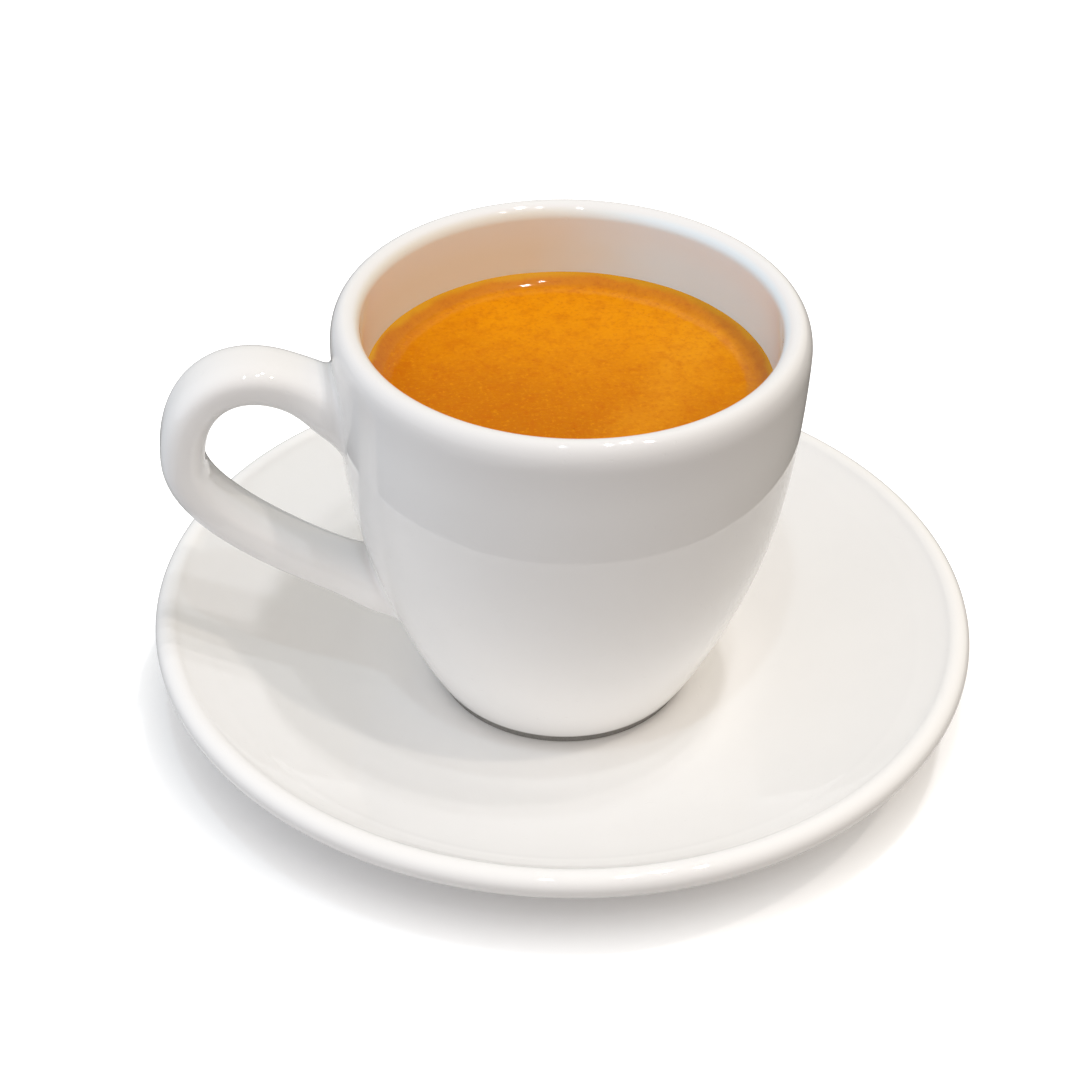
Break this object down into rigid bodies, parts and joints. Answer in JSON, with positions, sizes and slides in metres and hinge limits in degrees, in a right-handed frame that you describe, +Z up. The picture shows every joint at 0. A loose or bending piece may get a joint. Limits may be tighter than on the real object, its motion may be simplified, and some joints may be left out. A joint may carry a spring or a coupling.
{
  "type": "espresso in a cup with saucer",
  "caption": "Freshly pulled espresso with golden crema in a thick-walled white porcelain cup with a loop handle, standing on a round dished saucer.",
  "frame": {"origin": "centre of the saucer's foot ring, on the surface that it stands on", "axes": "+Z up through the middle of the cup; the cup's handle points along -X"},
  "size_m": [0.12, 0.12, 0.0672],
  "materials": {
    "cup_porcelain": "white porcelain under a clear high-gloss glaze, bare on the foot ring",
    "saucer_porcelain": "warm white porcelain under a clear gloss glaze, bare on the foot ring",
    "coffee": "golden orange crema of fine foam with a soft sheen, mottled, with darker fine specks"
  },
  "bodies": {
    "root": {"cup": "cup_porcelain", "saucer": "saucer_porcelain", "espresso": "coffee"}
  },
  "joints": []
}
